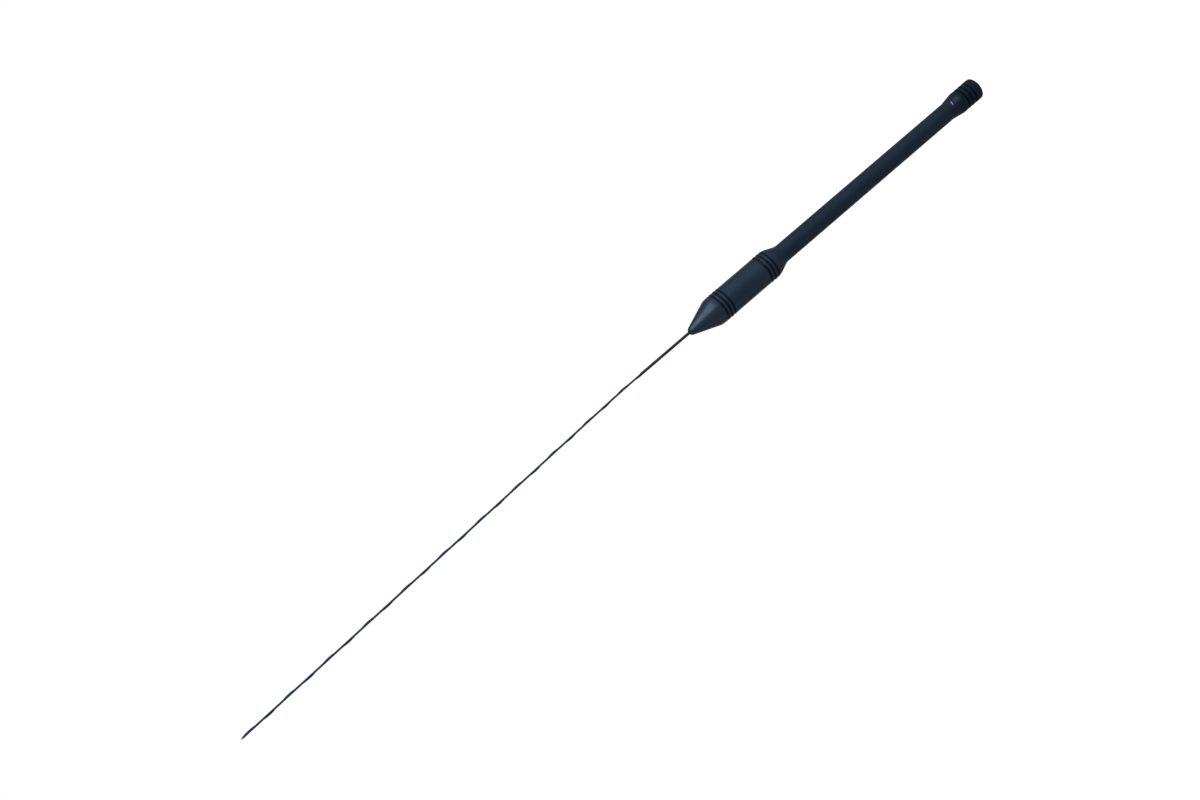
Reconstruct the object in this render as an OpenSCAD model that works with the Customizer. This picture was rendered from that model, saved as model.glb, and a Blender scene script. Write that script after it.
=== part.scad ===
// Car mast aerial: a moulded jacket over a threaded insert, a feed rod and a loading coil,
// with a thin whip above it that carries a helical strake against wind whistle.
// The mouth of the threaded hole is at the origin and the mast runs along +Z.

/* [Jacket] */
// Diameter of the grooved collar at the base
collar_d = 10.4; // [9.6:0.1:12]
// Length of the collar's straight part
collar_len = 11.7; // [11:0.1:14]
// Radius of the rounded edge round the base face
collar_edge_r = 0.7; // [0.4:0.1:1.2]
// Length of the neck that tapers from the collar to the shaft
neck_len = 6.3; // [4:0.1:12]
// Diameter of the long plain shaft
shaft_d = 8.4; // [7.5:0.1:9.2]
// Length of the long plain shaft
shaft_len = 105.5; // [80:0.1:140]
// Length of the flare from the shaft to the barrel
flare_len = 5.9; // [5:0.1:9]
// Diameter of the barrel round the coil
barrel_d = 13.1; // [12:0.1:15]
// Length of the barrel
barrel_len = 34.6; // [28:0.1:50]
// Length of the cone from the barrel to the nose
cone_len = 14; // [12:0.1:20]
// Diameter at which the cone would meet the flat nose
nose_d = 2.8; // [2.6:0.1:4]
// Radius that rounds the nose
nose_r = 1.8; // [0.4:0.1:1.8]
// Radius that softens the collar's shoulder
collar_round_r = 4; // [1:0.1:6]
// Radius of the hollows at both ends of the shaft
hollow_r = 6; // [1:0.1:8]
// Radius that softens both shoulders of the barrel
shoulder_r = 7.5; // [1:0.1:9]

/* [Grip grooves] */
// Radius of each groove's round bottom
groove_r = 0.48; // [0.25:0.01:0.6]
// Height of the lowest collar groove above the base face
collar_groove_z = 4.4; // [3:0.05:5]
// Spacing of the collar grooves
collar_groove_pitch = 2.4; // [1.6:0.05:2.8]
// Distance of the lowest barrel groove from the flare
barrel_low_inset = 1.7; // [1.2:0.05:3]
// Distance of the highest barrel groove from the cone
barrel_high_inset = 2.95; // [2:0.05:4]
// Spacing of the barrel grooves
barrel_groove_pitch = 2; // [1.6:0.05:2.6]
// Height by which the ribs between the barrel grooves stand proud
rib_proud = 0.1; // [0:0.01:0.3]

/* [Threaded insert] */
// Diameter of the insert's plain rim
insert_d = 7; // [6.4:0.1:7.4]
// Length of the insert
insert_len = 13; // [12:0.1:15]
// Tapping diameter of the threaded hole
thread_bore_d = 4.2; // [3.3:0.05:4.3]
// Depth of the threaded hole
thread_depth = 8.5; // [6:0.1:8.8]
// Solid web between the threaded hole and the rod's socket
insert_web = 1; // [0.6:0.1:1.2]
// Length of the plain rim at the mouth
insert_rim_len = 1; // [0.5:0.1:2]
// Width of the waist between the two knurled bands
insert_waist_w = 2.4; // [1.5:0.1:4]
// Depth of the waist
insert_waist_depth = 0.6; // [0.5:0.05:0.8]
// How far the knurls lie inside the rim
knurl_relief = 0.1; // [0.05:0.05:0.2]
// Depth of the knurl
knurl_depth = 0.2; // [0.1:0.05:0.25]
// Number of knurl teeth
knurl_teeth = 24; // [16:1:32]

/* [Feed rod and ferrules] */
// Diameter of the rod from the insert to the coil
rod_d = 3; // [2:0.1:3.4]
// Length of each ferrule's body
ferrule_body_len = 5; // [4.6:0.1:7]
// Length of each ferrule's crimped neck
ferrule_neck_len = 4; // [3:0.1:5]
// Diameter of the lower ferrule's neck, which grips the rod
lower_neck_d = 4.6; // [4.2:0.1:5.4]
// Diameter of the upper ferrule's neck, which grips the whip
upper_neck_d = 3.2; // [2.4:0.1:4]
// Depth of the crimp round each neck
crimp_depth = 0.3; // [0.1:0.05:0.4]
// How far each bore runs on past the neck into the body
bore_overrun = 1; // [0.5:0.1:1.2]

/* [Loading coil] */
// Distance of the former's flanges from the barrel's ends
coil_end_room = 3; // [2:0.1:5]
// Diameter of the former's core
former_core_d = 6; // [5.4:0.1:6.4]
// Diameter of the former's flanges
former_flange_d = 9.2; // [8.8:0.1:9.6]
// Thickness of the former's flanges
flange_t = 1.2; // [0.8:0.1:2]
// Diameter of the spigots that join the former to the ferrules
spigot_d = 3; // [2:0.1:3.6]
// Length of the spigots
spigot_len = 3; // [2:0.1:3.2]
// Diameter of the coil wire
coil_wire_d = 0.8; // [0.5:0.05:0.9]
// Spacing of the turns, which is stretched a little to give whole turns
coil_pitch = 1.05; // [1:0.05:1.6]
// Length of wire soldered to each ferrule
tail_len = 2.4; // [1.5:0.1:3.5]
// Diameter of each solder joint
solder_d = 1.8; // [1.5:0.05:2]
// Wall of the shrunk tube over the coil
coil_tube_t = 0.3; // [0.2:0.05:0.5]

/* [Whip] */
// Diameter of the whip's core
whip_d = 0.76; // [0.5:0.02:0.9]
// Length of the whip outside the nose
whip_len = 242; // [150:1:320]
// Diameter of the sleeve over the whip's root
sleeve_d = 1.28; // [1:0.02:1.4]
// Length of the sleeve outside the nose
sleeve_out = 28; // [15:0.5:40]
// Diameter of the strake's wire
strake_d = 0.24; // [0.16:0.01:0.4]
// Rise of the strake in one turn
strake_pitch = 20; // [12:0.5:30]
// Plain length of core left past the strake's end
tip_bare = 0.8; // [0.3:0.1:3]
// Lean of the whip beyond its sleeve, in degrees
whip_lean = 1.8; // [0:0.1:4]
// Length over which the lean sets in
lean_len = 20; // [10:1:60]

/* [Fits] */
// Gap round each pressed, crimped or moulded-in piece
fit_gap = 0.03; // [0.01:0.01:0.06]

/* [Hidden] */
$fn = 64;
eps = 0.01;

// Heights of the jacket's corners, from the base face up
neck_z = collar_len;
shaft_z = neck_z + neck_len;
flare_z = shaft_z + shaft_len;
barrel_z = flare_z + flare_len;
cone_z = barrel_z + barrel_len;
nose_z = cone_z + cone_len;
arc_steps = 6;

// Grooves come in bands of three
band_count = 3;
rib_land = 0.3;
band_len = (band_count - 1) * barrel_groove_pitch + 2 * (groove_r + rib_land);

// The insert's two knurled bands and the waist between them
knurl_len = (insert_len - insert_rim_len - insert_waist_w) / 2;
waist_z = insert_rim_len + knurl_len;

// The coil and what joins it at both ends
former_low_z = barrel_z + coil_end_room;
former_high_z = cone_z - coil_end_room;
ferrule_d = former_core_d;
rod_low_z = thread_depth + insert_web;
rod_high_z = former_low_z - ferrule_body_len + bore_overrun;
lower_neck_z = former_low_z - ferrule_body_len - ferrule_neck_len;
upper_neck_z = former_high_z + ferrule_body_len + ferrule_neck_len;
coil_steps = 16;
coil_sides = 6;
wind_r = (former_core_d / 2 + fit_gap + coil_wire_d / 2) / cos(180 / coil_steps);
wire_bend_r = 0.9;
wind_low_z = former_low_z + flange_t + wire_bend_r;
wind_high_z = former_high_z - flange_t - wire_bend_r;
turns = floor((wind_high_z - wind_low_z) / coil_pitch);
turn_rise = (wind_high_z - wind_low_z) / turns;
upper_tail_angle = 2 * wire_bend_r / wind_r * 180 / PI;

// The whip, its sleeve and its strake
whip_root_z = former_high_z + ferrule_body_len - bore_overrun;
sleeve_top_z = nose_z + sleeve_out;
tip_z = nose_z + whip_len;
tip_chamfer = 0.08;
whip_sides = 12;
lean_steps = 8;
strake_steps = 20;
strake_sides = 6;
strake_start_angle = 180;
strake_r = (whip_d / 2 + fit_gap + strake_d / 2) / cos(180 / strake_steps);

function unit(v) = v / norm(v);

// Points of the round that replaces corner b of the path a, b, c
function corner(a, b, c, r) =
    let (u = unit(a - b), w = unit(c - b), half = acos(u * w) / 2)
    let (centre = b + unit(u + w) * r / sin(half))
    let (from = b + u * r / tan(half) - centre, to = b + w * r / tan(half) - centre)
    let (start = atan2(from.y, from.x), turn = atan2(to.y, to.x) - start)
    let (sweep = turn > 180 ? turn - 360 : turn < -180 ? turn + 360 : turn)
    [for (i = [0:arc_steps]) let (t = start + sweep * i / arc_steps) centre + r * [cos(t), sin(t)]];

// Path with every inner corner rounded by its own radius, where that is above zero
function rounded(path, radii) = [
    path[0],
    for (i = [1:len(path) - 2])
        each radii[i] > 0 ? corner(path[i - 1], path[i], path[i + 1], radii[i]) : [path[i]],
    path[len(path) - 1]];

// Sideways place of the whip's axis at a height
function lean_x(z) =
    let (into = max(0, z - sleeve_top_z), curved = min(into, lean_len))
    -tan(whip_lean) * (curved * curved / (2 * lean_len) + into - curved);

// One ring of points round a centre, in the plane of two unit directions
function ring(centre, u, v, r, sides) =
    [for (i = [0:sides - 1]) centre + r * (cos(360 * i / sides) * u + sin(360 * i / sides) * v)];

// Level ring round a centre
function level_ring(centre, r, sides) = ring(centre, [1, 0, 0], [0, 1, 0], r, sides);

// Ring of a wire that runs on a cylinder of radius r; heading is its slope above the level
function wire_ring(r, angle, z, heading, wire_r, sides) =
    let (out = [cos(angle), sin(angle), 0], round = [-sin(angle), cos(angle), 0])
    ring(r * out + [0, 0, z], out, sin(heading) * round - cos(heading) * [0, 0, 1], wire_r, sides);

// Closed tube through rings that all have the same number of points
module skin(rings) {
    sides = len(rings[0]);
    top = (len(rings) - 1) * sides;
    walls = [for (k = [0:sides:top - sides], i = [0:sides - 1])
        let (j = (i + 1) % sides)
        [k + i, k + sides + i, k + sides + j, k + j]];
    ends = [[for (i = [0:sides - 1]) i], [for (i = [sides - 1:-1:0]) top + i]];
    polyhedron(points = [for (r = rings, p = r) p], faces = concat(walls, ends), convexity = 10);
}

// Round cutters for one band of grooves, in the half plane that is turned
module band_cuts(r, first_z, pitch) {
    for (k = [0:band_count - 1])
        translate([r, first_z + k * pitch]) circle(r = groove_r, $fn = 32);
}

// Low step on the barrel that holds the ribs of one band
module band_step(first_z) {
    translate([0, first_z - groove_r - rib_land])
        square([barrel_d / 2 + rib_proud, band_len]);
}

// Outline of the jacket in the half plane that is turned
module jacket_outline() {
    low_z = barrel_z + barrel_low_inset;
    high_z = cone_z - barrel_high_inset - (band_count - 1) * barrel_groove_pitch;
    difference() {
        union() {
            polygon(rounded([[0, 0], [collar_d / 2, 0], [collar_d / 2, neck_z], [shaft_d / 2, shaft_z],
                [shaft_d / 2, flare_z], [barrel_d / 2, barrel_z], [barrel_d / 2, cone_z],
                [nose_d / 2, nose_z], [0, nose_z]],
                [0, collar_edge_r, collar_round_r, hollow_r, hollow_r, shoulder_r, shoulder_r,
                nose_r, 0]));
            band_step(low_z);
            band_step(high_z);
        }
        band_cuts(collar_d / 2, collar_groove_z, collar_groove_pitch);
        band_cuts(barrel_d / 2 + rib_proud, low_z, barrel_groove_pitch);
        band_cuts(barrel_d / 2 + rib_proud, high_z, barrel_groove_pitch);
    }
}

// Straight round space of the jacket from one height to another, clear of the piece in it
module seat(d, low_z, high_z) {
    translate([0, 0, low_z]) cylinder(d = d + 2 * fit_gap, h = high_z - low_z);
}

module jacket() {
    waist_low_z = waist_z + fit_gap;
    waist_high_z = waist_z + insert_waist_w - fit_gap;
    color([0.15, 0.19, 0.24])
    difference() {
        rotate_extrude() jacket_outline();
        seat(insert_d, -eps, waist_low_z);
        seat(insert_d - 2 * insert_waist_depth, waist_low_z - eps, waist_high_z + eps);
        seat(insert_d, waist_high_z, insert_len);
        seat(rod_d, insert_len - eps, lower_neck_z + eps);
        seat(lower_neck_d, lower_neck_z, former_low_z - ferrule_body_len + eps);
        seat(ferrule_d, former_low_z - ferrule_body_len, former_high_z + ferrule_body_len);
        seat(former_flange_d + 2 * (coil_tube_t + fit_gap), former_low_z, former_high_z);
        seat(upper_neck_d, former_high_z + ferrule_body_len - eps, upper_neck_z);
        seat(sleeve_d, upper_neck_z - eps, nose_z + eps);
        solder_places() cylinder(d = solder_d + 2 * fit_gap, h = tail_len + fit_gap);
    }
}

// Places its child where each wire tail leaves a flange, upright and pointing away from the coil
module solder_places() {
    translate([wind_r, 0, former_low_z]) mirror([0, 0, 1]) children();
    rotate(upper_tail_angle) translate([wind_r, 0, former_high_z]) children();
}

// One knurled band, a toothed outline drawn upwards
module knurl_band() {
    step = 180 / knurl_teeth;
    linear_extrude(knurl_len)
        polygon([for (i = [0:2 * knurl_teeth - 1])
            (insert_d / 2 - knurl_relief - (i % 2) * knurl_depth) * [cos(i * step), sin(i * step)]]);
}

module thread_insert() {
    color([0.78, 0.62, 0.32])
    difference() {
        union() {
            cylinder(d = insert_d, h = insert_rim_len);
            translate([0, 0, insert_rim_len]) knurl_band();
            cylinder(d = insert_d - 2 * insert_waist_depth, h = insert_len);
            translate([0, 0, waist_z + insert_waist_w]) knurl_band();
        }
        translate([0, 0, -eps]) cylinder(d = thread_bore_d, h = thread_depth + eps);
        translate([0, 0, rod_low_z]) cylinder(d = rod_d + 2 * fit_gap, h = insert_len);
    }
}

module feed_rod() {
    color([0.62, 0.64, 0.66])
    translate([0, 0, rod_low_z]) cylinder(d = rod_d, h = rod_high_z - rod_low_z);
}

// Ferrule with its body at the origin and its neck pointing up
module ferrule(neck_d, bore_d) {
    color([0.78, 0.62, 0.32])
    difference() {
        union() {
            cylinder(d = ferrule_d, h = ferrule_body_len);
            cylinder(d = neck_d, h = ferrule_body_len + ferrule_neck_len);
        }
        translate([0, 0, -eps]) cylinder(d = spigot_d + 2 * fit_gap, h = spigot_len + fit_gap + eps);
        translate([0, 0, ferrule_body_len - bore_overrun])
            cylinder(d = bore_d + 2 * fit_gap, h = ferrule_neck_len + bore_overrun + eps);
        rotate_extrude()
            translate([neck_d / 2, ferrule_body_len + ferrule_neck_len / 2])
                circle(r = crimp_depth, $fn = 32);
    }
}

module lower_ferrule() {
    translate([0, 0, former_low_z]) mirror([0, 0, 1]) ferrule(lower_neck_d, rod_d);
}

module upper_ferrule() {
    translate([0, 0, former_high_z]) ferrule(upper_neck_d, whip_d);
}

module coil_former() {
    notch_w = coil_wire_d + 2 * fit_gap;
    color([0.88, 0.87, 0.82])
    difference() {
        union() {
            translate([0, 0, former_low_z - spigot_len])
                cylinder(d = spigot_d, h = former_high_z - former_low_z + 2 * spigot_len);
            translate([0, 0, former_low_z])
                cylinder(d = former_core_d, h = former_high_z - former_low_z);
            for (z = [former_low_z, former_high_z - flange_t])
                translate([0, 0, z]) cylinder(d = former_flange_d, h = flange_t);
        }
        solder_places()
            translate([-wind_r + former_core_d / 2, -notch_w / 2, -flange_t - eps])
                cube([former_flange_d, notch_w, flange_t + 2 * eps]);
    }
}

// Angle for an arc length along the winding's cylinder
function arc_angle(len) = len / wind_r * 180 / PI;

module coil_winding() {
    bend = [0, 30, 60, 90];
    wire_r = coil_wire_d / 2;
    low = [
        wire_ring(wind_r, 0, former_low_z - tail_len, 90, wire_r, coil_sides),
        for (h = bend)
            wire_ring(wind_r, arc_angle(wire_bend_r * (1 - cos(h))),
                wind_low_z - wire_bend_r * (1 - sin(h)), 90 - h, wire_r, coil_sides)];
    wound = [for (k = [1:turns * coil_steps - 1])
        wire_ring(wind_r, arc_angle(wire_bend_r) + 360 * k / coil_steps,
            wind_low_z + turn_rise * k / coil_steps, 0, wire_r, coil_sides)];
    high = [
        for (h = bend)
            wire_ring(wind_r, arc_angle(wire_bend_r * (1 + sin(h))),
                wind_high_z + wire_bend_r * (1 - cos(h)), h, wire_r, coil_sides),
        wire_ring(wind_r, upper_tail_angle, former_high_z + tail_len, 90, wire_r, coil_sides)];
    color([0.72, 0.38, 0.2]) skin(concat(low, wound, high));
}

module coil_tube() {
    inner_d = former_flange_d + 2 * fit_gap;
    color([0.1, 0.1, 0.1])
    translate([0, 0, former_low_z]) difference() {
        cylinder(d = inner_d + 2 * coil_tube_t, h = former_high_z - former_low_z);
        translate([0, 0, -eps]) cylinder(d = inner_d, h = former_high_z - former_low_z + 2 * eps);
    }
}

// Saddle of solder over each wire tail, with its feet on the ferrule
module solder_joints() {
    slot_d = coil_wire_d + 2 * fit_gap;
    color([0.75, 0.76, 0.78])
    difference() {
        solder_places() cylinder(d = solder_d, h = tail_len);
        solder_places() translate([0, 0, -eps]) {
            cylinder(d = slot_d, h = tail_len + 2 * eps);
            translate([-wind_r, -slot_d / 2, 0]) cube([wind_r, slot_d, tail_len + 2 * eps]);
        }
        cylinder(d = ferrule_d + 2 * fit_gap, h = tip_z);
    }
}

module whip_core() {
    bend_z = [for (i = [0:lean_steps]) sleeve_top_z + lean_len * i / lean_steps];
    color([0.16, 0.18, 0.24])
    skin([
        for (z = concat(whip_root_z, bend_z, tip_z - tip_chamfer))
            level_ring([lean_x(z), 0, z], whip_d / 2, whip_sides),
        level_ring([lean_x(tip_z), 0, tip_z], whip_d / 2 - tip_chamfer, whip_sides)]);
}

module whip_sleeve() {
    color([0.07, 0.09, 0.12])
    translate([0, 0, upper_neck_z]) difference() {
        cylinder(d = sleeve_d, h = sleeve_top_z - upper_neck_z);
        translate([0, 0, -eps])
            cylinder(d = whip_d + 2 * fit_gap, h = sleeve_top_z - upper_neck_z + 2 * eps);
    }
}

module whip_strake() {
    high_z = tip_z - tip_bare;
    count = ceil((high_z - sleeve_top_z) / strake_pitch * strake_steps);
    color([0.16, 0.18, 0.24])
    skin([for (k = [0:count])
        let (z = sleeve_top_z + (high_z - sleeve_top_z) * k / count)
        let (a = strake_start_angle + 360 * (z - sleeve_top_z) / strake_pitch)
        level_ring([lean_x(z) + strake_r * cos(a), strake_r * sin(a), z], strake_d / 2, strake_sides)]);
}

jacket();
thread_insert();
feed_rod();
lower_ferrule();
coil_former();
coil_winding();
coil_tube();
solder_joints();
upper_ferrule();
whip_core();
whip_sleeve();
whip_strake();
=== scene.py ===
import math

import bpy
import numpy as np
from mathutils import Matrix, Vector, noise


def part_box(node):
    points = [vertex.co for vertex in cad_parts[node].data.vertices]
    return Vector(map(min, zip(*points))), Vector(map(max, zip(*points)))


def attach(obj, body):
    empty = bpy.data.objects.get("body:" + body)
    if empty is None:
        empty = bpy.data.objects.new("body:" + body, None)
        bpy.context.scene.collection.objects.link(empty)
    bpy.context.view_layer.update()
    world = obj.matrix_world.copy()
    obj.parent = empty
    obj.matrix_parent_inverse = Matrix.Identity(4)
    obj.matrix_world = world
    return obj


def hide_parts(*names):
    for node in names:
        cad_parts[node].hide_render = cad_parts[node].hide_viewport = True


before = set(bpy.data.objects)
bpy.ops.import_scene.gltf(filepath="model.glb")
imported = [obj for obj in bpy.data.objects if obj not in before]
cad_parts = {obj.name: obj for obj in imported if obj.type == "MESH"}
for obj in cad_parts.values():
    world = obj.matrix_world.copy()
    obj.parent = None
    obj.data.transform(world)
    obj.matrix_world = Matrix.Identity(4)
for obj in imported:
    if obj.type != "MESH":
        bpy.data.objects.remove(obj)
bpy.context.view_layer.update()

# The sizes below are millimetres. Every mesh is scaled to metres when it is made.
MM = 0.001
BODY = "root"
# Gap round each piece that the jacket is moulded round
GAP = 0.03
# Faces that meet at more than this angle keep a hard edge
SHARP = math.radians(35)

# The jacket's outline, from the base face up
COLLAR_R = 5.2
COLLAR_EDGE_R = 0.7
COLLAR_ROUND_R = 4.0
NECK_Z = 11.7
HOLLOW_R = 6.0
SHAFT_R = 4.2
SHAFT_Z = 18.0
FLARE_Z = 123.5
SHOULDER_R = 7.5
BARREL_R = 6.55
BARREL_Z = 129.4
CONE_Z = 164.0
NOSE_R = 1.4
NOSE_Z = 178.0
NOSE_ROUND_R = 1.8

# The grip grooves, three to a band, with a soft lip each side
GROOVE_R = 0.48
LIP_R = 0.2
GROOVES = 3
RIB_PROUD = 0.1
RIB_LAND = 0.3
BARREL_PITCH = 2.0
COLLAR_BAND = {"first": 4.4, "pitch": 2.4}
LOW_BAND = {"first": BARREL_Z + 1.7, "pitch": BARREL_PITCH}
HIGH_BAND = {"first": CONE_Z - 2.95 - (GROOVES - 1) * BARREL_PITCH, "pitch": BARREL_PITCH}

# The inner pieces that the jacket is moulded round
INSERT_R = 3.5
INSERT_WAIST_R = 2.9
INSERT_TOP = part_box("thread_insert")[1].z / MM
KNURL_LOW_Z = 1.0
KNURL_LEN = 4.8
WAIST_Z = KNURL_LOW_Z + KNURL_LEN
WAIST_W = 2.4
KNURL_TEETH = 24
KNURL_R = 3.4
KNURL_DEPTH = 0.2
THREAD_R = 2.5
THREAD_MINOR_R = 2.1
THREAD_PITCH = 0.8
THREAD_DEPTH = 8.5
# Rows of points to one turn of the thread, so that its edges lie on rows
THREAD_ROWS = 16
ROD_R = 1.5
SOCKET_Z = 9.5
LOWER_NECK_R = 2.3
UPPER_NECK_R = 1.6
FERRULE_R = 3.0
FERRULE_BODY = 5.0
FERRULE_NECK = 4.0
COIL_LOW_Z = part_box("coil_tube")[0].z / MM
COIL_HIGH_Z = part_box("coil_tube")[1].z / MM
FLANGE_T = 1.2
TUBE_R = 4.93
TAIL_LEN = 2.4
SOLDER_R = 0.9

# The winding, with the radius of its wire's middle line round the former
WIRE_R = 0.4
WIND_R = 3.497
TURNS = 23
WIRE_BEND_R = 0.9
WIND_LOW_Z = COIL_LOW_Z + FLANGE_T + WIRE_BEND_R
WIND_HIGH_Z = COIL_HIGH_Z - FLANGE_T - WIRE_BEND_R

# The whip, which is coated and leans towards -X beyond its sleeve
WHIP_R = 0.38
COAT_R = 0.43
WHIP_ROOT_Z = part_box("whip_core")[0].z / MM
TIP_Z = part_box("whip_core")[1].z / MM
SLEEVE_R = 0.64
SLEEVE_ROOT_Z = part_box("whip_sleeve")[0].z / MM
SLEEVE_TOP_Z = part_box("whip_sleeve")[1].z / MM
STRAKE_TOP_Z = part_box("whip_strake")[1].z / MM
STRAKE_R = 0.11
STRAKE_PITCH = 20.0
STRAKE_START = math.pi
LEAN = math.radians(1.8)
LEAN_LEN = 20.0
TIP_BARE = 0.9

# The painted glint across the neck and the patch of painted highlight just above the collar's
# grooves: heights, and angles in radians round the mast from the camera's side towards +X
GLINT_Z = 16.05
GLINT_TURN = 0.37
PATCH_Z = 13.4
PATCH_TURN = 0.38

# Height that the lamp faces
LAMP_AIM_Z = 150.0

# The camera, fitted to the photograph's outline
LENS = 50.0
SENSOR = 36.0
CAMERA_PLACE = Vector((2.92, -656.92, 412.57))
CAMERA_TILT = math.radians(15.835)
CAMERA_ROLL = math.radians(-130.529)


def unit(v):
    return v / np.linalg.norm(v)


def corner(a, b, c, radius, steps=8):
    """Points of the round that replaces corner b of the path a, b, c."""
    a, b, c = np.array(a, float), np.array(b, float), np.array(c, float)
    u, w = unit(a - b), unit(c - b)
    half = math.acos(float(np.clip(u @ w, -1, 1))) / 2
    centre = b + unit(u + w) * radius / math.sin(half)
    first = b + u * radius / math.tan(half) - centre
    last = b + w * radius / math.tan(half) - centre
    start = math.atan2(first[1], first[0])
    sweep = math.remainder(math.atan2(last[1], last[0]) - start, 2 * math.pi)
    angles = start + sweep * np.linspace(0, 1, steps + 1)
    return [tuple(centre + radius * np.array([math.cos(t), math.sin(t)])) for t in angles]


def groove(surface_r, z, steps=8):
    """One groove with a round bottom and soft lips, drawn upwards."""
    reach = math.sqrt((GROOVE_R + LIP_R) ** 2 - LIP_R ** 2)
    touch = math.acos(LIP_R / (GROOVE_R + LIP_R))
    lip = [(surface_r - LIP_R + LIP_R * math.cos(t), z - reach + LIP_R * math.sin(t))
           for t in np.linspace(0, math.pi / 2 + (math.pi / 2 - touch), 4)]
    depth = math.pi / 2 + math.asin(LIP_R / (GROOVE_R + LIP_R))
    bottom = [(surface_r - GROOVE_R * math.cos(t), z + GROOVE_R * math.sin(t))
              for t in np.linspace(-depth, depth, steps + 1)][1:-1]
    mirrored = [(r, 2 * z - low) for r, low in reversed(lip)]
    return lip + bottom + mirrored


def band(surface_r, first, pitch, proud=0.0):
    """Three grooves, and the low step that carries the ribs between them."""
    rim = first - GROOVE_R - RIB_LAND
    top = first + (GROOVES - 1) * pitch + GROOVE_R + RIB_LAND
    points = []
    for k in range(GROOVES):
        points += groove(surface_r + proud, first + k * pitch)
    if proud:
        points = [(surface_r, rim - proud / 2), (surface_r + proud, rim + proud / 2), *points,
                  (surface_r + proud, top - proud / 2), (surface_r, top + proud / 2)]
    return points


def subdivide(points, longest):
    """The same path with its long stretches cut into equal parts."""
    path = [points[0]]
    for a, b in zip(points, points[1:]):
        parts = max(1, math.ceil(math.dist(a, b) / longest))
        path += [tuple(np.array(a) + (np.array(b) - np.array(a)) * k / parts)
                 for k in range(1, parts + 1)]
    return path


def cut_at_bore(points, bore_r):
    """The points of the nose's round that lie outside the bore, and one on its rim."""
    kept = [p for p in points if p[0] > bore_r]
    last, inside = kept[-1], points[len(kept)]
    share = (last[0] - bore_r) / (last[0] - inside[0])
    return kept + [(bore_r, last[1] + share * (inside[1] - last[1]))]


def jacket_outside():
    """The jacket's outer outline, from the insert's rim round to the nose."""
    mouth = (INSERT_R + GAP, 0)
    foot = (COLLAR_R, 0)
    neck = (COLLAR_R, NECK_Z)
    shaft = (SHAFT_R, SHAFT_Z)
    flare = (SHAFT_R, FLARE_Z)
    barrel = (BARREL_R, BARREL_Z)
    cone = (BARREL_R, CONE_Z)
    nose = (NOSE_R, NOSE_Z)
    low_band = band(BARREL_R, **LOW_BAND, proud=RIB_PROUD)
    low_shoulder = [p for p in corner(flare, barrel, cone, SHOULDER_R) if p[1] < low_band[0][1]]
    return [
        mouth,
        *corner(mouth, foot, neck, COLLAR_EDGE_R),
        *band(COLLAR_R, **COLLAR_BAND),
        *corner(foot, neck, shaft, COLLAR_ROUND_R),
        *corner(neck, shaft, flare, HOLLOW_R),
        *corner(shaft, flare, barrel, HOLLOW_R),
        *low_shoulder,
        *low_band,
        *band(BARREL_R, **HIGH_BAND, proud=RIB_PROUD),
        *corner(barrel, cone, nose, SHOULDER_R),
        *cut_at_bore(corner(cone, nose, (0, NOSE_Z), NOSE_ROUND_R, 16), SLEEVE_R + GAP),
    ]


def jacket_inside():
    """The space that the inner pieces fill, from the nose down to the mouth."""
    lower_body_z = COIL_LOW_Z - FERRULE_BODY
    upper_body_z = COIL_HIGH_Z + FERRULE_BODY
    tail_low_z = COIL_LOW_Z - TAIL_LEN - GAP
    tail_high_z = COIL_HIGH_Z + TAIL_LEN + GAP
    waist_top_z = WAIST_Z + WAIST_W
    steps = [
        (SLEEVE_R, upper_body_z + FERRULE_NECK),
        (UPPER_NECK_R, upper_body_z),
        (FERRULE_R, tail_high_z),
        (FERRULE_R, COIL_HIGH_Z),
        (TUBE_R, COIL_LOW_Z),
        (FERRULE_R, tail_low_z),
        (FERRULE_R, lower_body_z),
        (LOWER_NECK_R, lower_body_z - FERRULE_NECK),
        (ROD_R, INSERT_TOP),
        (INSERT_R, waist_top_z - GAP),
        (INSERT_WAIST_R, WAIST_Z + GAP),
        (INSERT_R, 0),
    ]
    points = []
    above = NOSE_Z
    for r, z in steps:
        points += [(r + GAP, above), (r + GAP, z)]
        above = z
    return points[1:-1]


def mesh_object(name, points, faces):
    """A smooth mesh with hard edges, made from points in millimetres."""
    mesh = bpy.data.meshes.new(name)
    mesh.from_pydata([tuple(MM * float(x) for x in p) for p in points], [], faces)
    mesh.validate()
    mesh.shade_smooth()
    mesh.set_sharp_from_angle(angle=SHARP)
    made = bpy.data.objects.new(name, mesh)
    bpy.context.scene.collection.objects.link(made)
    return made


def grid_faces(rows, columns, closed_rows):
    """Quads between rings of points; the rings join up end to end where closed_rows is set."""
    last = rows if closed_rows else rows - 1
    return [(a * columns + i, a * columns + j, b * columns + j, b * columns + i)
            for a in range(last)
            for b in [(a + 1) % rows]
            for i in range(columns)
            for j in [(i + 1) % columns]]


def cut_in_two(quads):
    """Cuts quads into triangles along the diagonal from the second corner to the fourth."""
    return [half for a, b, c, d in quads for half in ((a, b, d), (b, c, d))]


def rings(outline, columns):
    """Radii and heights of an outline's points, repeated for each column."""
    grid = np.array(outline)[:, :, None] + np.zeros(columns)
    return grid[:, 0], grid[:, 1]


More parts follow.
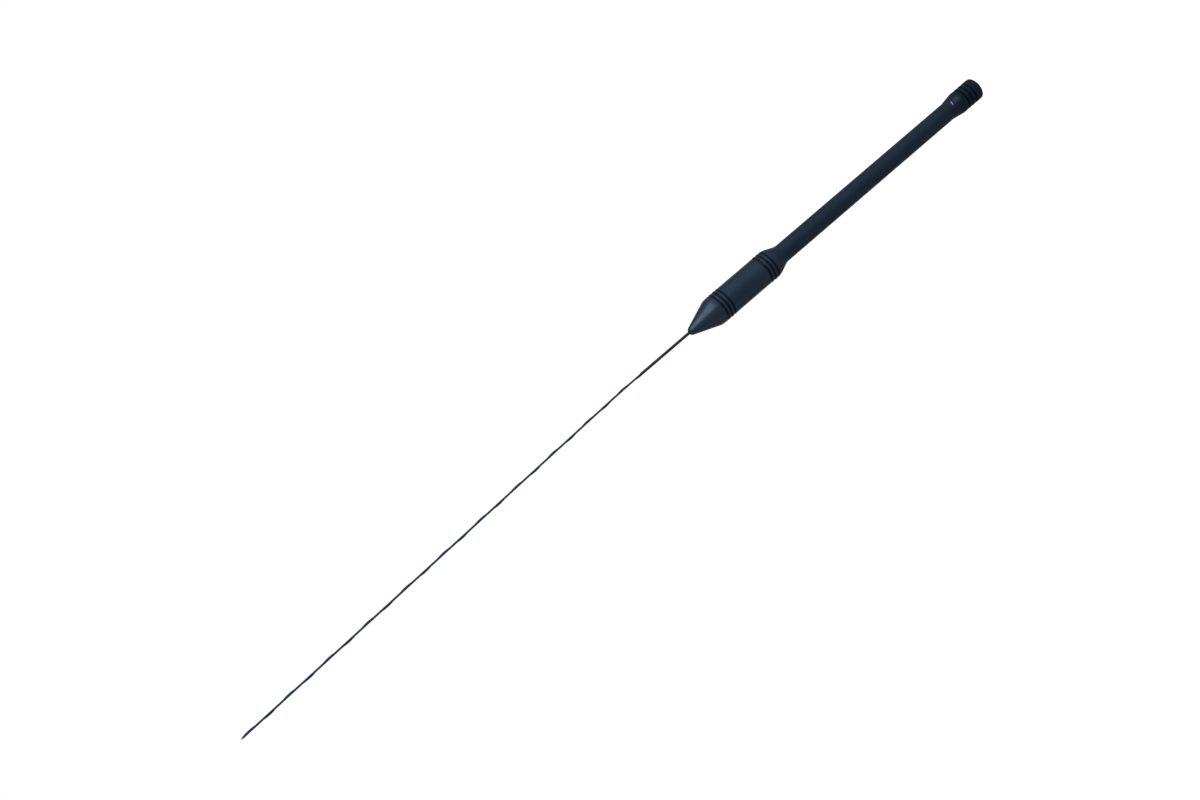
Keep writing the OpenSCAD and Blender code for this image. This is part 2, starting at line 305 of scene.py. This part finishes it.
def turned(name, radii, heights, angles, closed=False, triangles=False):
    """A turned piece from a grid of radii and heights, one row to a ring.

    Its outline is a closed path, or else each end is closed with a fan.
    """
    rows, columns = radii.shape
    x = radii * np.cos(angles)
    y = radii * np.sin(angles)
    points = np.stack([x, y, heights], -1).reshape(-1, 3)
    faces = grid_faces(rows, columns, closed)
    if triangles:
        faces = cut_in_two(faces)
    if not closed:
        low, high = len(points), len(points) + 1
        points = np.vstack([points, [0, 0, heights[0].mean()], [0, 0, heights[-1].mean()]])
        start = (rows - 1) * columns
        faces += [(low, (i + 1) % columns, i) for i in range(columns)]
        faces += [(high, start + i, start + (i + 1) % columns) for i in range(columns)]
    return mesh_object(name, points, faces)


def tube(name, centres, radii, sides):
    """A closed tube along a path, with one radius to a ring."""
    centres = np.array(centres, float)
    heading = np.gradient(centres, axis=0)
    side = np.array([1.0, 0.0, 0.0])
    points = []
    for centre, along, r in zip(centres, heading, radii):
        along = unit(along)
        side = unit(side - (side @ along) * along)
        other = np.cross(along, side)
        points += [centre + r * (math.cos(t) * side + math.sin(t) * other)
                   for t in 2 * math.pi * np.arange(sides) / sides]
    rows = len(centres)
    top = (rows - 1) * sides
    faces = grid_faces(rows, sides, False)
    faces += [tuple(range(sides - 1, -1, -1)), tuple(top + i for i in range(sides))]
    return mesh_object(name, points, faces)


def stands_for(made, node, material):
    """Gives a piece its material, and puts it in the place of its CAD node."""
    made.data.materials.append(material)
    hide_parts(node)
    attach(made, BODY)
    return made


def put(tree, socket, value):
    """Links the socket where the value comes from a node, and sets it otherwise."""
    if isinstance(value, bpy.types.NodeSocket):
        tree.links.new(value, socket)
    else:
        socket.default_value = value


def add(tree, kind, inputs=(), **settings):
    """A shader node with its settings and its inputs."""
    made = tree.nodes.new(kind)
    for key, value in settings.items():
        setattr(made, key, value)
    for key, value in dict(inputs).items():
        put(tree, made.inputs[key], value)
    return made


def math_node(tree, operation, *values):
    return add(tree, "ShaderNodeMath", dict(enumerate(values)), operation=operation).outputs[0]


def plus(tree, a, b):
    return math_node(tree, "ADD", a, b)


def minus(tree, a, b):
    return math_node(tree, "SUBTRACT", a, b)


def times(tree, a, b):
    return math_node(tree, "MULTIPLY", a, b)


def distance_from(tree, value, middle):
    return math_node(tree, "ABSOLUTE", minus(tree, value, middle))


def place(tree):
    """Object coordinates, in metres."""
    return add(tree, "ShaderNodeTexCoord").outputs["Object"]


def split(tree, where):
    """The x, y and z of a place."""
    return add(tree, "ShaderNodeSeparateXYZ", {0: where}).outputs


def stretched(tree, where, scale):
    return add(tree, "ShaderNodeMapping", {"Vector": where, "Scale": scale}).outputs[0]


def noise_at(tree, where, scale, detail=3.0, roughness=0.55):
    return add(tree, "ShaderNodeTexNoise", {"Vector": where, "Scale": scale, "Detail": detail,
                                            "Roughness": roughness}).outputs["Fac"]


def remap(tree, value, low, high, to_low=0.0, to_high=1.0):
    return add(tree, "ShaderNodeMapRange", {"Value": value, "From Min": low, "From Max": high,
                                            "To Min": to_low, "To Max": to_high}).outputs[0]


def mix_colour(tree, factor, a, b):
    """Colour a where the factor is 0, and b where it is 1."""
    mixed = add(tree, "ShaderNodeMix", data_type="RGBA")
    for socket, value in zip((mixed.inputs[0], mixed.inputs[6], mixed.inputs[7]), (factor, a, b)):
        put(tree, socket, value)
    return mixed.outputs[2]


def bump(tree, height, strength, distance):
    return add(tree, "ShaderNodeBump", {"Height": height, "Strength": strength,
                                        "Distance": distance}).outputs[0]


def attribute(tree, name):
    return add(tree, "ShaderNodeAttribute", attribute_name=name).outputs["Fac"]


def colour(r, g, b):
    return (r, g, b, 1.0)


def new_material(name):
    """A material with nothing but its shader; returns the material, its tree and the shader."""
    made = bpy.data.materials.new(name)
    made.use_nodes = True
    tree = made.node_tree
    shader = next(n for n in tree.nodes if n.type == "BSDF_PRINCIPLED")
    return made, tree, shader


def feed(tree, shader, **inputs):
    """Sets or links the shader's inputs, named with underscores for spaces."""
    for key, value in inputs.items():
        put(tree, shader.inputs[key.replace("_", " ")], value)


def turn_from_front(tree, x, y):
    """Angle round the mast from the camera's side towards +X, in radians."""
    return math_node(tree, "ARCTAN2", x, times(tree, y, -1.0))


def grazing(tree):
    """Share by which a matt skin loses its gloss towards its rim."""
    facing = add(tree, "ShaderNodeLayerWeight", {"Blend": 0.5}).outputs["Facing"]
    return remap(tree, facing, 0.25, 0.5)


def painted_neck_glint(tree, where):
    """Mask of the short painted glint across the neck, a little aslant and fading at its ends."""
    x, y, z = split(tree, where)
    turn = turn_from_front(tree, x, y)
    slant = times(tree, minus(tree, turn, GLINT_TURN), MM * 0.9)
    wander = remap(tree, noise_at(tree, where, 4000.0, 2.0), 0.3, 0.7, MM * -0.04, MM * 0.04)
    height = plus(tree, plus(tree, z, wander), slant)
    across = remap(tree, distance_from(tree, height, MM * GLINT_Z), MM * 0.3, MM * 0.1)
    along = remap(tree, distance_from(tree, turn, GLINT_TURN), 0.3, 0.08)
    return times(tree, across, along)


def painted_highlight_patch(tree, where):
    """Mask of the patch of painted highlight just above the collar's grooves, on the lit side."""
    x, y, z = split(tree, where)
    turn = turn_from_front(tree, x, y)
    across = remap(tree, distance_from(tree, z, MM * PATCH_Z), MM * 2.6, MM * 0.8)
    along = remap(tree, distance_from(tree, turn, PATCH_TURN), 0.36, 0.08)
    mottle = remap(tree, noise_at(tree, where, 900.0, 3.0), 0.35, 0.6, 0.4, 1.0)
    return times(tree, times(tree, across, along), mottle)


def jacket_colour(tree, where, upper, collar):
    """Blue-black, with painted shade at the collar and in the grooves, rubbed edges, a painted
    highlight above the collar and a painted glint on the neck.
    """
    tone = noise_at(tree, where, 70.0, 4.0)
    plain = mix_colour(tree, remap(tree, tone, 0.35, 0.65), colour(0.0034, 0.0072, 0.0153),
                       colour(0.0044, 0.0092, 0.019))
    body = mix_colour(tree, upper, plain, colour(0.0044, 0.0098, 0.0215))
    # Painted shade: the collar and neck are darkened towards near black.
    shaded = mix_colour(tree, times(tree, collar, 0.5), body, colour(0.001, 0.0015, 0.003))
    streaks = noise_at(tree, stretched(tree, where, (1.0, 1.0, 0.06)), 2600.0, 4.0)
    worn = times(tree, attribute(tree, "edge"), remap(tree, streaks, 0.45, 0.7))
    rubbed = mix_colour(tree, times(tree, worn, 0.4), shaded, colour(0.03, 0.04, 0.056))
    # Painted shade: the grooves are darkened where the cavity attribute is high.
    groove_shade = times(tree, attribute(tree, "cavity"), 0.8)
    groove_shaded = mix_colour(tree, groove_shade, rubbed, colour(0.0012, 0.002, 0.004))
    # Painted highlight: a paler patch on the lit side just above the collar's grooves.
    highlighted = mix_colour(tree, painted_highlight_patch(tree, where), groove_shaded, colour(0.026, 0.029, 0.048))
    # Painted glint: a short bright line across the neck.
    return mix_colour(tree, painted_neck_glint(tree, where), highlighted, colour(0.26, 0.33, 0.42))


def jacket_gloss(tree, upper, collar, cone):
    """Specular level: more on the barrel and most on the cone, less in grooves and at rims."""
    gloss = plus(tree, remap(tree, upper, 0.0, 1.0, 0.165, 0.22), times(tree, cone, 0.07))
    matt = times(tree, grazing(tree), remap(tree, upper, 0.0, 1.0, 0.65, 1.0))
    for mask, least in ((attribute(tree, "cavity"), 0.2), (collar, 0.6), (matt, 0.15)):
        gloss = times(tree, gloss, remap(tree, mask, 0.0, 1.0, 1.0, least))
    return gloss


def jacket_material():
    """Dark moulded plastic with a fine grain, which is smoother from the barrel upwards."""
    made, tree, shader = new_material("jacket_moulding")
    where = place(tree)
    z = split(tree, where)[2]
    upper = remap(tree, z, MM * (BARREL_Z - 2), MM * (BARREL_Z + 1))
    collar = remap(tree, z, MM * SHAFT_Z, MM * (NECK_Z - 1))
    cone = remap(tree, z, MM * (CONE_Z - 4), MM * (CONE_Z + 2))
    blotches = remap(tree, noise_at(tree, where, 240.0, 5.0), 0.3, 0.7, -0.04, 0.04)
    smooth = plus(tree, times(tree, upper, 0.18), times(tree, cone, 0.08))
    grain = noise_at(tree, where, 5200.0, 2.0)
    streaks = noise_at(tree, stretched(tree, where, (1.0, 1.0, 0.03)), 3800.0, 2.0)
    scratches = remap(tree, streaks, 0.62, 0.72)
    relief = minus(tree, grain, times(tree, scratches, 0.35))
    feed(tree, shader, Base_Color=jacket_colour(tree, where, upper, collar),
         Roughness=minus(tree, plus(tree, blotches, 0.57), smooth),
         Specular_IOR_Level=jacket_gloss(tree, upper, collar, cone),
         Specular_Tint=colour(0.52, 0.75, 1.0), Normal=bump(tree, relief, 0.35, MM * 0.06))
    return made


def metal_material(name, pale, dark, rough, brushed=(1.0, 1.0, 1.0), scale=1800.0):
    """Bare metal with a drawn or turned finish and a light tarnish."""
    made, tree, shader = new_material(name)
    where = place(tree)
    lines = noise_at(tree, stretched(tree, where, brushed), scale, 3.0)
    stain = noise_at(tree, where, 260.0, 5.0)
    base = mix_colour(tree, remap(tree, stain, 0.35, 0.75), pale, dark)
    feed(tree, shader, Base_Color=base, Metallic=1.0,
         Roughness=remap(tree, lines, 0.3, 0.7, rough - 0.06, rough + 0.08),
         Normal=bump(tree, lines, 0.25, MM * 0.02))
    return made


def plastic_material(name, pale, dark, rough, level=0.4):
    """Plain moulded or shrunk plastic with a faint mottle."""
    made, tree, shader = new_material(name)
    where = place(tree)
    mottle = noise_at(tree, where, 420.0, 4.0)
    grain = noise_at(tree, where, 4200.0, 2.0)
    feed(tree, shader, Base_Color=mix_colour(tree, remap(tree, mottle, 0.35, 0.65), pale, dark),
         Roughness=remap(tree, mottle, 0.3, 0.7, rough - 0.05, rough + 0.05),
         Specular_IOR_Level=level, Normal=bump(tree, grain, 0.2, MM * 0.03))
    return made


def wire_material():
    """Enamelled copper, tinned where its tails run through the solder."""
    made, tree, shader = new_material("coil_wire")
    where = place(tree)
    middle = (COIL_LOW_Z + COIL_HIGH_Z) / 2
    half = (COIL_HIGH_Z - COIL_LOW_Z) / 2
    from_middle = distance_from(tree, split(tree, where)[2], MM * middle)
    tinned = remap(tree, from_middle, MM * (half + 0.2), MM * (half + 0.6))
    shade = noise_at(tree, where, 900.0, 3.0)
    enamel = mix_colour(tree, remap(tree, shade, 0.3, 0.7), colour(0.36, 0.1, 0.035),
                        colour(0.5, 0.17, 0.06))
    base = mix_colour(tree, tinned, enamel, colour(0.6, 0.6, 0.6))
    feed(tree, shader, Base_Color=base, Metallic=0.85,
         Roughness=remap(tree, shade, 0.3, 0.7, 0.24, 0.36), Coat_Weight=0.6, Coat_Roughness=0.12)
    return made


def whip_material():
    """Blue-black coated wire with a faint mottle, and a bare blunt tip."""
    made, tree, shader = new_material("whip_coat")
    where = place(tree)
    ragged = remap(tree, noise_at(tree, where, 3000.0, 2.0), 0.3, 0.7, MM * -0.2, MM * 0.2)
    from_tip = minus(tree, MM * TIP_Z, plus(tree, split(tree, where)[2], ragged))
    bare = remap(tree, from_tip, MM * TIP_BARE, MM * (TIP_BARE - 0.15))
    tone = noise_at(tree, where, 500.0, 4.0)
    coat = mix_colour(tree, remap(tree, tone, 0.35, 0.65), colour(0.009, 0.017, 0.046),
                      colour(0.014, 0.025, 0.064))
    base = mix_colour(tree, bare, coat, colour(0.3, 0.27, 0.24))
    dull = remap(tree, tone, 0.3, 0.7, 0.3, 0.42)
    feed(tree, shader, Base_Color=base, Metallic=times(tree, bare, 0.9),
         Roughness=dull, Specular_IOR_Level=0.06, Specular_Tint=colour(0.4, 0.7, 1.0),
         Normal=bump(tree, noise_at(tree, where, 5000.0, 2.0), 0.2, MM * 0.02))
    return made


def whip_x(z):
    """Sideways place of the whip's axis at a height."""
    into = max(0.0, z - SLEEVE_TOP_Z)
    curved = min(into, LEAN_LEN)
    return -math.tan(LEAN) * (curved * curved / (2 * LEAN_LEN) + into - curved)


def turning(points):
    """How sharply a closed path bends at each point, per millimetre; hollows are negative."""
    shortest = 0.02
    path = np.array(points)
    before = path - np.roll(path, 1, axis=0)
    after = np.roll(path, -1, axis=0) - path
    cross = before[:, 0] * after[:, 1] - before[:, 1] * after[:, 0]
    angle = np.arctan2(cross, (before * after).sum(1))
    length = (np.linalg.norm(before, axis=1) + np.linalg.norm(after, axis=1)) / 2
    return angle / np.maximum(length, shortest)


def jacket_angles():
    """Columns round the jacket, closer together at the mould's two parting lines."""
    columns = 192
    even = 2 * np.pi * np.arange(columns) / columns
    fine = np.radians([-1.2, -0.8, -0.4, 0.4, 0.8, 1.2])
    extra = np.concatenate([fine, fine + np.pi])
    return np.sort(np.concatenate([even, extra]) % (2 * np.pi))


def jacket_relief(radii, heights, angles):
    """The moulding's slight unevenness, and the fine parting lines at +X and -X."""
    waver_height = 0.012
    waver_len = 9.0
    line_height = 0.025
    line_half = 0.09
    x, y = radii * np.cos(angles), radii * np.sin(angles)
    waver = [noise.noise(Vector(p) / waver_len)
             for p in np.stack([x, y, heights], -1).reshape(-1, 3)]
    from_line = radii * np.abs(np.sin(angles))
    line = line_height * np.exp(-(from_line / line_half) ** 2)
    return waver_height * np.reshape(waver, radii.shape) + line


def solder_pocket(angles, middle):
    """Radius of the pocket round a wire's tail, or zero away from it."""
    off = np.remainder(angles - middle + np.pi, 2 * np.pi) - np.pi
    inside = (SOLDER_R + GAP) ** 2 - (WIND_R * np.sin(off)) ** 2
    reach = WIND_R * np.cos(off) + np.sqrt(np.maximum(inside, 0))
    return np.where((inside > 0) & (np.abs(off) < np.pi / 2), reach, 0)


def make_jacket(material):
    """The whole moulding as one closed turned piece, which knows its own edges and hollows."""
    sharp_bend = 4.0
    deep_hollow = 2.4
    outside = subdivide(jacket_outside(), 0.85)
    inside = subdivide(jacket_inside(), 12.0)
    outline = outside + inside
    angles = jacket_angles()
    radii, heights = rings(outline, len(angles))
    count = len(outside)
    skin = slice(1, count - 1)
    foot = np.minimum(1, heights[skin] / COLLAR_EDGE_R)
    radii[skin] += foot * jacket_relief(radii[skin], heights[skin], angles)
    carve_pockets(radii, heights, angles, count)
    made = turned("jacket_moulding", radii, heights, angles, closed=True)
    sharpness = turning(outline)
    sharpness[count:] = 0
    on_step = np.array([r >= BARREL_R for r, _ in outline])
    sharpness[on_step] = np.maximum(sharpness[on_step], 0)
    store(made, "edge", np.clip(sharpness / sharp_bend, 0, 1), len(angles))
    store(made, "cavity", np.clip(-sharpness / deep_hollow, 0, 1), len(angles))
    return stands_for(made, "jacket", material)


def carve_pockets(radii, heights, angles, first_row):
    """Widens the inside where the solder joints stand proud of the ferrules."""
    upper_tail = 2 * WIRE_BEND_R / WIND_R
    tail = TAIL_LEN + 2 * GAP
    for low, high, middle in ((COIL_LOW_Z - tail, COIL_LOW_Z, 0.0),
                              (COIL_HIGH_Z, COIL_HIGH_Z + tail, upper_tail)):
        pocket = solder_pocket(angles, middle)
        for row in range(first_row, len(radii)):
            if low <= heights[row, 0] <= high and radii[row, 0] < FERRULE_R + 2 * GAP:
                radii[row] = np.maximum(radii[row], pocket)


def store(made, name, values, columns):
    """Keeps one number a ring as a mesh attribute."""
    layer = made.data.attributes.new(name, "FLOAT", "POINT")
    layer.data.foreach_set("value", np.repeat(values, columns).astype(np.float32))


def thread_radius(angle, z):
    """Wall of the threaded hole, with flat crests and roots and flanks at about 60 degrees."""
    root_share = 0.25
    flank_share = 0.625
    phase = (z / THREAD_PITCH - angle / (2 * np.pi)) % 1.0
    ridge = np.abs(phase - 0.5) * 2
    depth = np.clip((ridge - root_share) / flank_share, 0, 1)
    return THREAD_R - depth * (THREAD_R - THREAD_MINOR_R)


def make_insert(material):
    """The brass insert with its real thread, a lead-in and two knurled bands.

    The thread's rows rise with its helix by one row's height, so that crests and roots lie on
    points, and then step back by a row, where the quads' diagonals carry the edges on.
    """
    columns = KNURL_TEETH * 6
    angles = 2 * np.pi * np.arange(columns) / columns
    tooth = np.abs((angles * KNURL_TEETH / (2 * np.pi)) % 1.0 - 0.5) * 2
    knurl = KNURL_R - KNURL_DEPTH * (1 - tooth)
    row_height = THREAD_PITCH / THREAD_ROWS
    rise = row_height * (THREAD_ROWS * np.arange(columns) / columns % 1.0)
    mouth_r = THREAD_R + 0.225
    centre_r = 0.05
    rim_edge = 0.15
    knurl_edge = 0.25
    knurl_root_r = INSERT_WAIST_R + 0.05
    socket_r = ROD_R + GAP
    radii, heights = [], []

    def ring(r, z):
        radii.append(np.zeros(columns) + r)
        heights.append(np.zeros(columns) + z)

    def wall(z):
        ring(np.maximum(thread_radius(angles, z), mouth_r - z), z)

    ring(centre_r, THREAD_DEPTH)
    wall(THREAD_DEPTH)
    for row in range(round(THREAD_DEPTH / row_height) - 1, 0, -1):
        wall(row * row_height + rise)
    wall(0)
    ring(INSERT_R - rim_edge, 0)
    ring(INSERT_R, rim_edge)
    ring(INSERT_R, KNURL_LOW_Z)
    for low in (KNURL_LOW_Z, WAIST_Z + WAIST_W):
        high = low + KNURL_LEN
        ring(knurl_root_r, low)
        ring(knurl, low + knurl_edge)
        ring(knurl, high - knurl_edge)
        ring(knurl_root_r, high)
    ring(socket_r + rim_edge, INSERT_TOP)
    ring(socket_r, INSERT_TOP - rim_edge)
    ring(socket_r, SOCKET_Z)
    ring(centre_r, SOCKET_Z)
    made = turned("thread_insert_cut", np.array(radii), np.array(heights), angles, triangles=True)
    return stands_for(made, "thread_insert", material)


def make_winding(material):
    """The loading coil: a tail, an eased bend, the turns, and the same again."""
    bend = np.radians(np.arange(0, 91, 15))
    bend_turn = WIRE_BEND_R / WIND_R
    steps = 48
    low = [(bend_turn * (1 - math.cos(h)), WIND_LOW_Z - WIRE_BEND_R * (1 - math.sin(h)))
           for h in bend]
    wound = [(bend_turn + 2 * math.pi * k / steps,
              WIND_LOW_Z + (WIND_HIGH_Z - WIND_LOW_Z) * k / (steps * TURNS))
             for k in range(1, steps * TURNS)]
    high = [(bend_turn * (1 + math.sin(h)), WIND_HIGH_Z + WIRE_BEND_R * (1 - math.cos(h)))
            for h in bend]
    route = [(0.0, COIL_LOW_Z - TAIL_LEN), *low, *wound, *high,
             (2 * bend_turn, COIL_HIGH_Z + TAIL_LEN)]
    centres = [(WIND_R * math.cos(a), WIND_R * math.sin(a), z) for a, z in route]
    made = tube("coil_winding_enamelled", centres, [WIRE_R] * len(centres), 12)
    return stands_for(made, "coil_winding", material)


def make_core(material):
    """The whip's core: plain in its sleeve, coated above, with a filed edge at its blunt tip."""
    filed = 0.08
    coat_edge = 0.05
    lean_end_z = SLEEVE_TOP_Z + LEAN_LEN
    heights = [WHIP_ROOT_Z, SLEEVE_TOP_Z,
               *np.linspace(SLEEVE_TOP_Z + coat_edge, lean_end_z, 17),
               *np.linspace(lean_end_z, TIP_Z - filed, 40)[1:],
               TIP_Z - filed / 2, TIP_Z]
    radii = [WHIP_R] * 2 + [COAT_R] * (len(heights) - 4) + [COAT_R - filed / 3, COAT_R - filed]
    centres = [(whip_x(z), 0, z) for z in heights]
    made = tube("whip_core_coated", centres, radii, 28)
    return stands_for(made, "whip_core", material)


def make_sleeve(material):
    """The shrunk sleeve over the whip's root, drawn in where it ends."""
    bore = WHIP_R + GAP
    drawn_in = 0.1
    drawn_len = 0.5
    drawn_z = SLEEVE_TOP_Z - drawn_len
    outline = [
        (bore, SLEEVE_ROOT_Z),
        (SLEEVE_R, SLEEVE_ROOT_Z),
        *[(SLEEVE_R, z) for z in np.linspace(SLEEVE_ROOT_Z, drawn_z, 60)[1:]],
        *[(SLEEVE_R - drawn_in * (1 - math.cos(t)), drawn_z + drawn_len * math.sin(t))
          for t in np.radians([20, 40, 60, 75, 90])],
        (bore, SLEEVE_TOP_Z),
    ]
    columns = 32
    angles = 2 * np.pi * np.arange(columns) / columns
    made = turned("whip_sleeve_shrunk", *rings(outline, columns), angles, closed=True)
    return stands_for(made, "whip_sleeve", material)


def make_strake(material):
    """The wire that winds round the whip, which narrows where it ends."""
    steps = 40
    off_axis = COAT_R + STRAKE_R
    count = math.ceil((STRAKE_TOP_Z - SLEEVE_TOP_Z) / STRAKE_PITCH * steps)
    heights = np.linspace(SLEEVE_TOP_Z, STRAKE_TOP_Z, count + 1)
    turn = STRAKE_START + 2 * np.pi * (heights - SLEEVE_TOP_Z) / STRAKE_PITCH
    centres = [(whip_x(z) + off_axis * math.cos(a), off_axis * math.sin(a), z)
               for z, a in zip(heights, turn)]
    radii = np.full(count + 1, STRAKE_R)
    radii[[0, -1]] = STRAKE_R * 0.6
    made = tube("whip_strake_wire", centres, radii, 12)
    return stands_for(made, "whip_strake", material)


def dress(nodes, material):
    """Gives CAD nodes whose shape stays their material."""
    for name in nodes:
        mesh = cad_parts[name].data
        mesh.materials.clear()
        mesh.materials.append(material)


def white_to_eye(tree, seen, plain):
    """One shader for camera, glossy and transmission rays, and another for the rest."""
    rays = add(tree, "ShaderNodeLightPath").outputs
    eye = math_node(tree, "MAXIMUM", rays["Is Camera Ray"], rays["Is Glossy Ray"])
    eye = math_node(tree, "MAXIMUM", eye, rays["Is Transmission Ray"])
    return add(tree, "ShaderNodeMixShader", {0: eye, 1: plain, 2: seen}).outputs[0]


def make_floor():
    """Pale floor under the base face. It looks white, and keeps a faint shadow."""
    half = 3.0
    mesh = bpy.data.meshes.new("floor")
    mesh.from_pydata([(-half, -half, 0), (half, -half, 0), (half, half, 0), (-half, half, 0)],
                     [], [(0, 1, 2, 3)])
    floor = bpy.data.objects.new("floor", mesh)
    bpy.context.scene.collection.objects.link(floor)
    made = bpy.data.materials.new("pale_floor")
    made.use_nodes = True
    tree = made.node_tree
    tree.nodes.clear()
    plain = add(tree, "ShaderNodeBsdfDiffuse", {"Color": colour(0.8, 0.8, 0.8)}).outputs[0]
    thin = add(tree, "ShaderNodeBsdfDiffuse", {"Color": colour(0.4, 0.4, 0.4)}).outputs[0]
    glow = add(tree, "ShaderNodeEmission", {"Color": colour(1, 1, 1), "Strength": 0.955}).outputs[0]
    seen = add(tree, "ShaderNodeAddShader", {0: thin, 1: glow}).outputs[0]
    add(tree, "ShaderNodeOutputMaterial", {"Surface": white_to_eye(tree, seen, plain)})
    mesh.materials.append(made)


def make_world():
    """White to the eye, and a soft grey as a light."""
    world = bpy.data.worlds.new("studio")
    world.use_nodes = True
    tree = world.node_tree
    tree.nodes.clear()
    seen = add(tree, "ShaderNodeBackground", {"Color": colour(1, 1, 1), "Strength": 1.0}).outputs[0]
    plain = add(tree, "ShaderNodeBackground", {"Color": colour(1, 1, 1), "Strength": 0.12}).outputs[0]
    add(tree, "ShaderNodeOutputWorld", {"Surface": white_to_eye(tree, seen, plain)})
    bpy.context.scene.world = world


def lamp_side(azimuth, elevation):
    """Direction towards a lamp. Azimuth 0 is the camera's side and 90 is +X, in degrees."""
    a, e = math.radians(azimuth), math.radians(elevation)
    return Vector((math.sin(a) * math.cos(e), -math.cos(a) * math.cos(e), math.sin(e)))


def make_lamp(name, azimuth, elevation, distance, size, power):
    """A soft square lamp that faces the mast."""
    out = lamp_side(azimuth, elevation)
    data = bpy.data.lights.new(name, "AREA")
    data.shape = "SQUARE"
    data.size = size
    data.energy = power
    lamp = bpy.data.objects.new(name, data)
    bpy.context.scene.collection.objects.link(lamp)
    lamp.location = Vector((0, 0, LAMP_AIM_Z * MM)) + out * distance
    lamp.rotation_euler = out.to_track_quat("Z", "Y").to_euler()
    lamp.visible_camera = False


def make_camera():
    """The photograph's view: the mast stands upright, so the camera is rolled."""
    look = Vector((0, math.cos(CAMERA_TILT), -math.sin(CAMERA_TILT)))
    level = Vector((1, 0, 0))
    rise = level.cross(look)
    right = level * math.cos(CAMERA_ROLL) + rise * math.sin(CAMERA_ROLL)
    up = rise * math.cos(CAMERA_ROLL) - level * math.sin(CAMERA_ROLL)
    data = bpy.data.cameras.new("photo_view")
    data.lens = LENS
    data.sensor_width = SENSOR
    data.clip_start = 0.01
    camera = bpy.data.objects.new("photo_view", data)
    bpy.context.scene.collection.objects.link(camera)
    turn = Matrix((right, up, -look)).transposed().to_4x4()
    camera.matrix_world = Matrix.Translation(CAMERA_PLACE * MM) @ turn
    bpy.context.scene.camera = camera


make_camera()
make_world()
make_floor()
make_lamp("key", azimuth=47, elevation=8, distance=1.0, size=1.04, power=19.5)

brass = metal_material("brass", colour(0.62, 0.43, 0.17), colour(0.42, 0.27, 0.1), 0.3,
                       brushed=(0.15, 0.15, 1.0))
rod_steel = metal_material("rod_steel", colour(0.5, 0.51, 0.52), colour(0.38, 0.38, 0.38), 0.34,
                           brushed=(1.0, 1.0, 0.04))
solder = metal_material("solder", colour(0.6, 0.61, 0.63), colour(0.45, 0.45, 0.46), 0.26,
                        scale=700.0)
former_plastic = plastic_material("former_plastic", colour(0.72, 0.7, 0.62),
                                  colour(0.62, 0.6, 0.52), 0.5)
tube_plastic = plastic_material("tube_plastic", colour(0.008, 0.008, 0.01),
                                colour(0.014, 0.014, 0.016), 0.28)
sleeve_plastic = plastic_material("sleeve_plastic", colour(0.007, 0.0105, 0.02),
                                  colour(0.011, 0.0155, 0.028), 0.42, level=0.1)
whip_coat = whip_material()

make_jacket(jacket_material())
make_insert(brass)
make_winding(wire_material())
make_core(whip_coat)
make_sleeve(sleeve_plastic)
make_strake(whip_coat)
dress(["lower_ferrule", "upper_ferrule"], brass)
dress(["feed_rod"], rod_steel)
dress(["coil_former"], former_plastic)
dress(["coil_tube"], tube_plastic)
dress(["solder_joints"], solder)

bpy.context.scene.view_settings.view_transform = "Standard"
